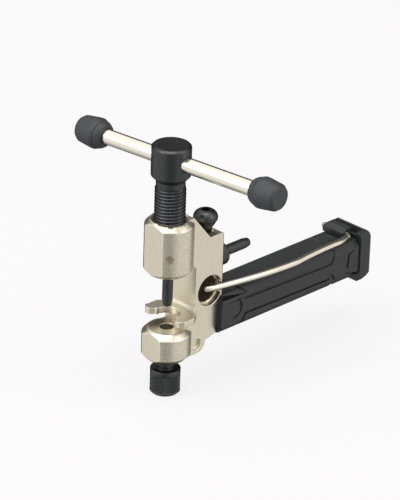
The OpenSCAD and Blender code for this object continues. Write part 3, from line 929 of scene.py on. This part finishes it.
@dataclass
class SubAssembly:
    """Pieces that are made and fitted together.

    Attributes:
        crease_degrees: Angle above which the shading keeps an edge sharp.
    """

    crease_degrees: float = 40.0

    def fit(
        self, name: str, shape: Shape, body: str, nodes: Sequence[str], *finishes: Finish
    ) -> bpy.types.Object:
        """Turns a mesh into a finished piece that rides on a body.

        Args:
            name: Name of the piece.
            shape: Mesh of the piece, which is used up.
            body: Name of the CAD body that it moves with.
            nodes: CAD nodes that it stands for.
            finishes: Its finishes, by material slot.

        Returns:
            The piece.
        """
        piece = to_object(name, shape)
        for finish in finishes:
            piece.data.materials.append(finish.material())
        piece.data.shade_smooth()
        piece.data.set_sharp_from_angle(angle=math.radians(self.crease_degrees))
        weighted = piece.modifiers.new("even_shading", "WEIGHTED_NORMAL")
        weighted.keep_sharp = True
        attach(piece, body)
        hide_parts(*nodes)
        LOG.info("%s: %d faces on %s for %s", name, len(piece.data.polygons), body, ", ".join(nodes))
        return piece

    def fit_copy(self, node: str, ending: str, body: str, edge_mm: float, finish: Finish) -> None:
        """Fits a piece that is a CAD node's own shape with its edges rounded.

        Args:
            node: Name of the CAD node.
            ending: End of the piece's name.
            body: Name of the CAD body that it moves with.
            edge_mm: Rounding of its edges.
            finish: Its finish.
        """
        self.fit(f"{node}_{ending}", soften(cad_copy(node), edge_mm), body, [node], finish)

    def dress(self, node: str, finish: Finish) -> None:
        """Gives a CAD node that stays its finish.

        Args:
            node: Name of the CAD node.
            finish: Its finish.
        """
        mesh = frame["nodes"][node].data
        mesh.materials.clear()
        mesh.materials.append(finish.material())
        LOG.info("%s: CAD node, %s", node, finish.name)

    def build(self) -> None:
        """Builds and dresses every piece."""
        raise NotImplementedError


@dataclass
class CFrame(SubAssembly):
    """The cast C-frame and the bush in its splined hole.

    Attributes:
        edge_mm: Rounding of the frame's edges.
    """

    edge_mm: float = 0.16

    def build(self) -> None:
        """Builds the frame with rounded edges whose lighter finish is a painted highlight, and dresses the
        bush.
        """
        # The faces of the rounding take the second slot, a lighter nickel that paints a highlight along the
        # edges
        casting = soften(cad_copy("body"), self.edge_mm, finish_index=1)
        self.fit("frame_casting", casting, "frame", ["body"], CAST_NICKEL, EDGE_HIGHLIGHT_NICKEL)
        self.dress("hook_bush", BUSH_NYLON)


@dataclass
class PressScrew(SubAssembly):
    """The drive screw and the pin that turns in its end.

    Attributes:
        thread: The screw's thread.
        neck_mm: Length of the plain neck under the head.
        neck_radius_mm: Radius of that neck.
        cone_mm: Length of the cone between the neck and the head.
        head_mm: Length of the head's cylinder.
        bore_mm: Radius and depth of the bore for the pin's holder.
        cross_hole_mm: Radius of the hole for the tee bar.
        rim_mm: Width of the bevel round the head's top.
    """

    thread: Thread = Thread(4.72, 4.15, 1.058)
    neck_mm: float = 1.6
    neck_radius_mm: float = 4.4
    cone_mm: float = 1.65
    head_mm: float = 9.6
    bore_mm: tuple[float, float] = (2.65, 4.25)
    cross_hole_mm: float = 2.43
    rim_mm: float = 0.6

    def build(self) -> None:
        """Builds the screw, and dresses the pin, its holder and the ball."""
        self.build_screw()
        self.fit_copy("push_pin", "turned", "pin_carriage", 0.08, BLACK_OXIDE)
        self.fit_copy("pin_holder", "turned", "spindle", 0.12, BLACK_OXIDE)
        self.dress("thrust_ball", GROUND_STEEL)

    def build_screw(self) -> None:
        """Builds the screw: a bored end, the wound thread, the neck and the cross-drilled head."""
        low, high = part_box("drive_screw")
        bottom = low.z / MM
        top = high.z / MM
        radius = high.y / MM
        head_bottom = top - self.head_mm
        cone_bottom = head_bottom - self.cone_mm
        thread_top = cone_bottom - self.neck_mm
        root = self.thread.root_mm
        bore_radius, bore_depth = self.bore_mm
        foot = lathe([
            (0.0, bottom + bore_depth), (bore_radius, bottom + bore_depth), (bore_radius, bottom),
            (root, bottom),
        ])
        head = lathe(rounded([
            (root, thread_top, 0), (self.neck_radius_mm, thread_top + 0.1, 0),
            (self.neck_radius_mm, cone_bottom, 0.3), (radius, head_bottom, 0.5),
            (radius, top - self.rim_mm, 0.25), (radius - self.rim_mm, top, 0.25),
            (radius - self.rim_mm - 0.9, top, 0.4), (0.0, top - 0.12, 0),
        ]))
        blank = weld(foot, self.thread.wind(bottom, thread_top), head)
        bar_height = self.bar_height()
        drill = turned_to(
            lathe([(0.0, -20.0), (self.cross_hole_mm, -20.0), (self.cross_hole_mm, 20.0), (0.0, 20.0)], 64),
            bar_axis(), Vector((0, 0, bar_height)),
        )
        screw = cut(blank, drill)
        reach = (self.cross_hole_mm + 0.05) * MM

        def on_rim(point: Vector) -> bool:
            """Tells whether a point is on the rim of the cross hole."""
            offset = point - Vector((0, 0, bar_height))
            across = (offset - bar_axis() * offset.dot(bar_axis())).length
            return across < reach and Vector(point.xy).length > 0.8 * radius * MM

        screw = soften(screw, 0.22, segments=3, where=on_rim)
        self.fit("drive_screw_threaded", screw, "spindle", ["drive_screw"], BLACK_OXIDE)

    def bar_height(self) -> float:
        """Gives the height of the tee bar's axis, in metres."""
        low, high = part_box("tee_bar")
        return (low.z + high.z) / 2


def bar_axis() -> Vector:
    """Gives the direction of the tee bar, the axis of the joint that it slides on."""
    slide = next(joint for joint in frame["joints"] if joint["child"] == "bar")
    return Vector(slide["axis"]).normalized()


@dataclass
class TeeBar(SubAssembly):
    """The sliding bar and its two end grips.

    Attributes:
        bar_mm: Radius of the bar.
        grip_radius_mm: Largest radius of a grip.
        grip_length_mm: Length of a grip.
        lip_mm: Length of the lip at the open end.
        step_mm: Where the lip ends in a step.
        bore_depth_mm: How far the bar goes into a grip.
    """

    bar_mm: float = 2.38
    grip_radius_mm: float = 4.8
    grip_length_mm: float = 9.4
    lip_mm: float = 1.2
    step_mm: float = 1.9
    bore_depth_mm: float = 8.3

    def build(self) -> None:
        """Builds the bar and the grips along the bar's axis."""
        middle, half = self.span()
        bar = lathe(rounded([
            (0.0, -half, 0), (self.bar_mm, -half, 0.3), (self.bar_mm, half, 0.3), (0.0, half, 0)
        ]))
        self.fit("tee_bar_ground", turned_to(weld(bar), bar_axis(), middle), "bar", ["tee_bar"], BAR_NICKEL)
        inset = half - (self.bore_depth_mm - 0.1)
        for side, node in ((-1, "bar_grip_left"), (1, "bar_grip_right")):
            grip = weld(lathe(self.grip_profile()))
            place = middle + bar_axis() * (side * inset * MM)
            turned_to(grip, bar_axis() * side, place)
            self.fit(f"{node}_moulded", grip, "bar", [node], GREY_GRIP)

    def span(self) -> tuple[Vector, float]:
        """Gives the middle of the bar in metres and half its length in millimetres."""
        low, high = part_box("tee_bar")
        along = abs(bar_axis().x)
        width = 2 * self.bar_mm * MM * math.sqrt(max(0.0, 1 - along * along))
        half = ((high.x - low.x) - width) / 2 / along
        return (low + high) / 2, half / MM

    def grip_profile(self) -> list[tuple[float, float]]:
        """Gives a grip's profile, from the bore's end out over the lip and the barrel to the crown.

        Returns:
            (radius, height) points with the open end at height 0.
        """
        radius = self.grip_radius_mm
        length = self.grip_length_mm
        bore = self.bar_mm + 0.05
        return rounded([
            (0.0, self.bore_depth_mm, 0), (bore, self.bore_depth_mm, 0), (bore, 0.0, 0.15),
            (radius - 1.3, 0.0, 0.3), (radius - 0.6, self.lip_mm, 0.4), (radius - 0.6, self.step_mm, 0.04),
            (radius - 0.42, self.step_mm, 0.05), (radius, self.step_mm + 1.0, 0.5), (radius - 0.05, 4.0, 3.0),
            (radius - 0.62, length - 1.0, 0.8), (radius - 1.1, length - 0.35, 0.1),
            (radius - 1.3, length, 0.15), (0.0, length - 0.02, 0),
        ])


@dataclass
class AnvilScrew(SubAssembly):
    """The knurled screw under the chain seat and its hardened tip.

    Attributes:
        thread: The screw's thread.
        knurl: The knob's knurl.
        knob_mm: Height of the knob.
        rim_mm: Height of the smooth rim on top of the knurl.
        socket_mm: Radius and depth of the socket for the tip.
        edge_mm: Bevel round the knob's foot.
        land_mm: Plain band between that bevel and the knurl.
        reach_mm: How far below the frame the thread starts.
    """

    thread: Thread = Thread(2.95, 2.6, 0.8)
    knurl: Knurl = Knurl()
    knob_mm: float = 8.1
    rim_mm: float = 1.6
    socket_mm: tuple[float, float] = (1.25, 4.0)
    edge_mm: float = 0.6
    land_mm: float = 0.3
    reach_mm: float = 0.4

    def build(self) -> None:
        """Builds the screw and dresses its tip."""
        low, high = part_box("anvil_screw")
        bottom = low.z / MM
        shank_top = high.z / MM
        radius = high.y / MM
        knob_top = bottom + self.knob_mm
        thread_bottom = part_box("body")[0].z / MM - self.reach_mm
        root = self.thread.root_mm
        socket_radius, socket_depth = self.socket_mm
        steps = self.knurl.teeth * self.knurl.fine
        edge = self.edge_mm
        knurl_bottom = bottom + edge + self.land_mm
        foot = lathe(rounded([
            (0.0, bottom, 0), (radius - edge, bottom, 0.2), (radius, bottom + edge, 0.2),
            (radius, knurl_bottom, 0),
        ]), steps)
        rolled = self.knurl.roll(radius, knurl_bottom, knob_top - self.rim_mm)
        shoulder = lathe(rounded([
            (radius, knob_top - self.rim_mm, 0), (radius, knob_top, 0.3), (root, knob_top, 0.2),
            (root, thread_bottom, 0)
        ]), steps)
        top = lathe([
            (root, shank_top), (socket_radius, shank_top), (socket_radius, shank_top - socket_depth),
            (0.0, shank_top - socket_depth)
        ], steps)
        shape = weld(foot, rolled, shoulder, self.thread.wind(thread_bottom, shank_top, steps), top)
        self.fit("anvil_screw_knurled", shape, "anvil", ["anvil_screw"], BLACK_OXIDE)
        self.dress("anvil_tip", GROUND_STEEL)


@dataclass
class NylonGrip(SubAssembly):
    """The two moulded shells, the end cap and the screws that hold them.

    Attributes:
        edge_mm: Rounding of the moulded edges and mould lines.
    """

    edge_mm: float = 0.12

    def build(self) -> None:
        """Builds the shells, the cap and the screws."""
        for side in ("left", "right"):
            self.fit_copy(f"grip_shell_{side}", "moulded", "frame", self.edge_mm, BLACK_NYLON)
        self.fit_copy("end_cap", "moulded", "frame", self.edge_mm, BLACK_NYLON)
        for node in ("grip_screws", "end_cap_screw"):
            self.fit_copy(node, "turned", "frame", 0.15, BLACK_OXIDE)


@dataclass
class SpareSet(SubAssembly):
    """The spare pin in the back of the frame and the screw that locks it."""

    def build(self) -> None:
        """Builds the spare pin, its holder and the lock screw."""
        self.fit_copy("spare_pin", "turned", "spare", 0.08, BLACK_OXIDE)
        self.fit_copy("spare_pin_holder", "turned", "spare", 0.12, BLACK_OXIDE)
        self.fit_copy("lock_screw", "headed", "frame", 0.15, BLACK_OXIDE)


@dataclass
class ChainHook(SubAssembly):
    """The wire hook that clips along the grip.

    Attributes:
        wire_mm: Radius of the wire.
        bend_mm: Radius of its bends, on the wire's axis.
        corner_mm: X of the front corner.
        bow_mm: How far the long leg bows out from there.
        rear_mm: X of the rear corner.
        long_leg_mm: Height of the long leg.
        kink_share: Where along the long leg it turns back in.
        front_leg_mm: Y and Z of the front leg.
        rear_leg_mm: Y and Z of the rear leg.
        rear_tip_mm: X of the rear leg's end.
    """

    wire_mm: float = 1.0
    bend_mm: float = 1.8
    corner_mm: float = 4.2
    bow_mm: float = 4.1
    rear_mm: float = 4.5
    long_leg_mm: float = 9.3
    kink_share: float = 0.56
    front_leg_mm: tuple[float, float] = (13.0, 9.5)
    rear_leg_mm: tuple[float, float] = (74.95, 7.85)
    rear_tip_mm: float = -6.3

    def build(self) -> None:
        """Builds the wire on the route of its CAD solid."""
        wire = swept_wire(smooth_route(self.route()), self.wire_mm)
        self.fit("chain_hook_wire", wire, "hook", ["chain_hook"], WIRE_NICKEL)

    def route(self) -> list[Vector]:
        """Gives the points of the wire's axis: front leg, bowed long leg with one kink, rear leg.

        Returns:
            Points in millimetres.
        """
        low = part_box("chain_hook")[0]
        front_y, front_z = self.front_leg_mm
        rear_y, rear_z = self.rear_leg_mm
        bend = self.bend_mm
        turn_y = rear_y - bend
        kink_y = front_y + self.kink_share * (turn_y - front_y)
        kink = Vector((self.corner_mm + self.bow_mm, kink_y, self.long_leg_mm))
        tip_x = low.x / MM
        points = [
            Vector((tip_x + 1, front_y, front_z)), Vector((-2, front_y, front_z)),
            Vector((self.corner_mm - bend, front_y, front_z)),
            Vector((self.corner_mm - bend * 0.35, front_y + bend * 0.2, front_z)),
        ]
        start_y = front_y + bend * 0.7
        for u in (0.04, 0.16, 0.28, 0.4, 0.52, 0.64, 0.76, 0.88):
            points.append(Vector((
                self.corner_mm + self.bow_mm * math.sin(math.pi / 2 * u), start_y + (kink.y - start_y) * u,
                front_z + (self.long_leg_mm - front_z) * u,
            )))
        points.append(kink)
        for u in (0.15, 0.32, 0.49, 0.66, 0.83):
            points.append(Vector((
                kink.x + (self.rear_mm + bend * 0.4 - kink.x) * u, kink.y + (turn_y - kink.y) * u,
                self.long_leg_mm + (rear_z - self.long_leg_mm) * u * u,
            )))
        for degrees in (0, 30, 60, 90):
            angle = math.radians(degrees)
            points.append(Vector((
                self.rear_mm - bend * (1 - math.cos(angle)), turn_y + bend * math.sin(angle), rear_z
            )))
        points += [Vector((0, rear_y, rear_z)), Vector((self.rear_tip_mm, rear_y, rear_z))]
        return points


# ---------------------------------------------------------------- studio


class Backdrop(Enum):
    """What the tool's polished faces mirror, as radiance."""

    ZENITH = 1.30
    HORIZON = 1.00
    BENEATH = 0.20
    VIEWER = 0.45
    LOW_CARD = 0.10
    REAR_CARD = 0.14


@dataclass
class SoftBox:
    """One soft light.

    Attributes:
        name: Name of the light.
        azimuth: Its direction from the tool, in degrees as for the camera.
        elevation: Its height above the horizon, in degrees.
        distance_m: Its distance.
        size_m: Its width and height.
        radiance: Its brightness.
    """

    name: str
    azimuth: float
    elevation: float
    distance_m: float
    size_m: tuple[float, float]
    radiance: float

    def hang(self, target: Vector) -> None:
        """Hangs the light so that it faces the target.

        Args:
            target: Point that it faces, in metres.
        """
        light = bpy.data.lights.new(self.name, "AREA")
        light.shape = "RECTANGLE"
        light.size, light.size_y = self.size_m
        light.energy = self.radiance * math.pi * self.size_m[0] * self.size_m[1]
        made = bpy.data.objects.new(self.name, light)
        back = direction(self.azimuth, self.elevation)
        made.location = target + back * self.distance_m
        made.rotation_euler = back.to_track_quat("Z", "Y").to_euler()
        bpy.context.scene.collection.objects.link(made)


def direction(azimuth: float, elevation: float) -> Vector:
    """Gives the direction from the tool at an azimuth and an elevation in degrees.

    Args:
        azimuth: 0 is towards -Y and 90 towards +X.
        elevation: Angle above the horizon.

    Returns:
        A unit vector.
    """
    a = math.radians(azimuth)
    e = math.radians(elevation)
    return Vector((math.sin(a) * math.cos(e), -math.cos(a) * math.cos(e), math.sin(e)))


@dataclass
class Studio:
    """Floor, lights and camera.

    Attributes:
        azimuth: Direction of the camera from the tool.
        elevation: Height of the camera above the horizon.
        roll: Turn of the camera about its own axis.
        distance_m: Distance of the camera.
        lens_mm: Focal length over a 36 mm long side.
        target_mm: Point in the middle of the picture.
    """

    azimuth: float = 44.4
    elevation: float = 25.6
    roll: float = 1.9
    distance_m: float = 1.0725
    lens_mm: float = 258.7
    target_mm: tuple[float, float, float] = (0.0, 13.2, 21.06)

    def build(self) -> None:
        """Builds the stage."""
        self.place_camera()
        self.light_world()
        boxes = (
            SoftBox("softbox_left", -18, 34, 0.75, (0.34, 0.62), 3.1),
            SoftBox("softbox_right", 112, 30, 0.80, (0.30, 0.60), 2.2),
            SoftBox("softbox_top", 20, 84, 0.80, (0.60, 0.60), 2.6),
        )
        for box in boxes:
            box.hang(Vector(self.target_mm) * MM)
        self.lay_floor()
        bpy.context.scene.view_settings.view_transform = "Standard"
        LOG.info("studio: %d soft boxes", len(boxes))

    def place_camera(self) -> None:
        """Places the camera and makes it the scene's."""
        camera = bpy.data.cameras.new("camera")
        camera.lens = self.lens_mm
        camera.sensor_width = 36.0
        camera.clip_start = 0.05
        camera.clip_end = 20.0
        made = bpy.data.objects.new("camera", camera)
        back = direction(self.azimuth, self.elevation)
        turn = back.to_track_quat("Z", "Y").to_matrix() @ Matrix.Rotation(math.radians(self.roll), 3, "Z")
        made.location = Vector(self.target_mm) * MM + back * self.distance_m
        made.rotation_euler = turn.to_euler()
        bpy.context.scene.collection.objects.link(made)
        bpy.context.scene.camera = made

    def light_world(self) -> None:
        """Lights the world: a bright tent, its darker opening at the viewer and two dark cards."""
        world = bpy.data.worlds.new("studio")
        bpy.context.scene.world = world
        world.use_nodes = True
        tree = world.node_tree
        tree.nodes.clear()
        look = add_node(tree, "ShaderNodeTexCoord").outputs["Generated"]
        height = split(tree, look)["Z"]
        above = ramp(tree, height, 0.0, 0.9, Backdrop.HORIZON.value, Backdrop.ZENITH.value)
        below = ramp(tree, height, -0.95, -0.5, Backdrop.BENEATH.value)
        tent = maths(tree, "MULTIPLY", above, below)
        viewer = self.zone(tree, look, direction(self.azimuth, -12), 0.80, 0.93)
        rear = self.zone(tree, look, Vector((-0.2, 0.85, 0.49)), 0.86, 0.91)
        away = self.zone(tree, look, -direction(self.azimuth, 0), 0.35, 0.60)
        card = maths(tree, "MULTIPLY", away, ramp(tree, height, 0.54, 0.47))
        zones = ((viewer, Backdrop.VIEWER), (rear, Backdrop.REAR_CARD), (card, Backdrop.LOW_CARD))
        for share, radiance in zones:
            tent = add_node(
                tree, "ShaderNodeMix", {"data_type": "FLOAT", 3: radiance.value}, {0: share, 2: tent}
            ).outputs[0]
        shade = add_node(tree, "ShaderNodeBackground", {"Color": linear("#FFFDF9")}, {"Strength": tent})
        add_node(tree, "ShaderNodeOutputWorld", links={"Surface": shade.outputs["Background"]})

    def zone(self, tree: Tree, look: Socket, centre: Vector, outer: float, inner: float) -> Socket:
        """Adds a round zone of the world.

        Args:
            tree: Node tree of the world.
            look: Direction being looked at.
            centre: Direction of the zone's middle.
            outer: Cosine of the angle from there at which the zone begins.
            inner: Cosine of the angle at which it is complete.

        Returns:
            The socket that carries the zone's share, from 0 to 1.
        """
        near = add_node(
            tree, "ShaderNodeVectorMath", {"operation": "DOT_PRODUCT", 1: centre.normalized()}, {0: look}
        )
        return ramp(tree, near.outputs["Value"], outer, inner)

    def lay_floor(self) -> None:
        """Lays a plain pale floor under the tool's lowest point."""
        shape = bmesh.new()
        bmesh.ops.create_grid(shape, x_segments=4, y_segments=4, size=FLOOR_HALF_M)
        bmesh.ops.translate(shape, vec=(0, 0, CAD_BOX[0].z), verts=shape.verts)
        floor = to_object("floor", shape)
        material = bpy.data.materials.new("pale_matte_board")
        material.use_nodes = True
        tree = material.node_tree
        tree.nodes.clear()
        surface = add_node(
            tree, "ShaderNodeBsdfPrincipled",
            {"Base Color": linear("#4A494A"), "Roughness": 0.9, "Emission Color": linear("#FAF9FA"),
             "Emission Strength": 0.86},
        )
        add_node(tree, "ShaderNodeOutputMaterial", links={"Surface": surface.outputs["BSDF"]})
        floor.data.materials.append(material)
        floor.visible_glossy = False


def main() -> None:
    """Builds the tool and its studio."""
    logging.basicConfig(level=logging.INFO, format="%(message)s")
    Studio().build()
    for part in (CFrame(), PressScrew(), TeeBar(), AnvilScrew(), NylonGrip(), SpareSet(), ChainHook()):
        part.build()
        LOG.info("%s built", type(part).__name__)


if __name__ == "__main__":
    main()
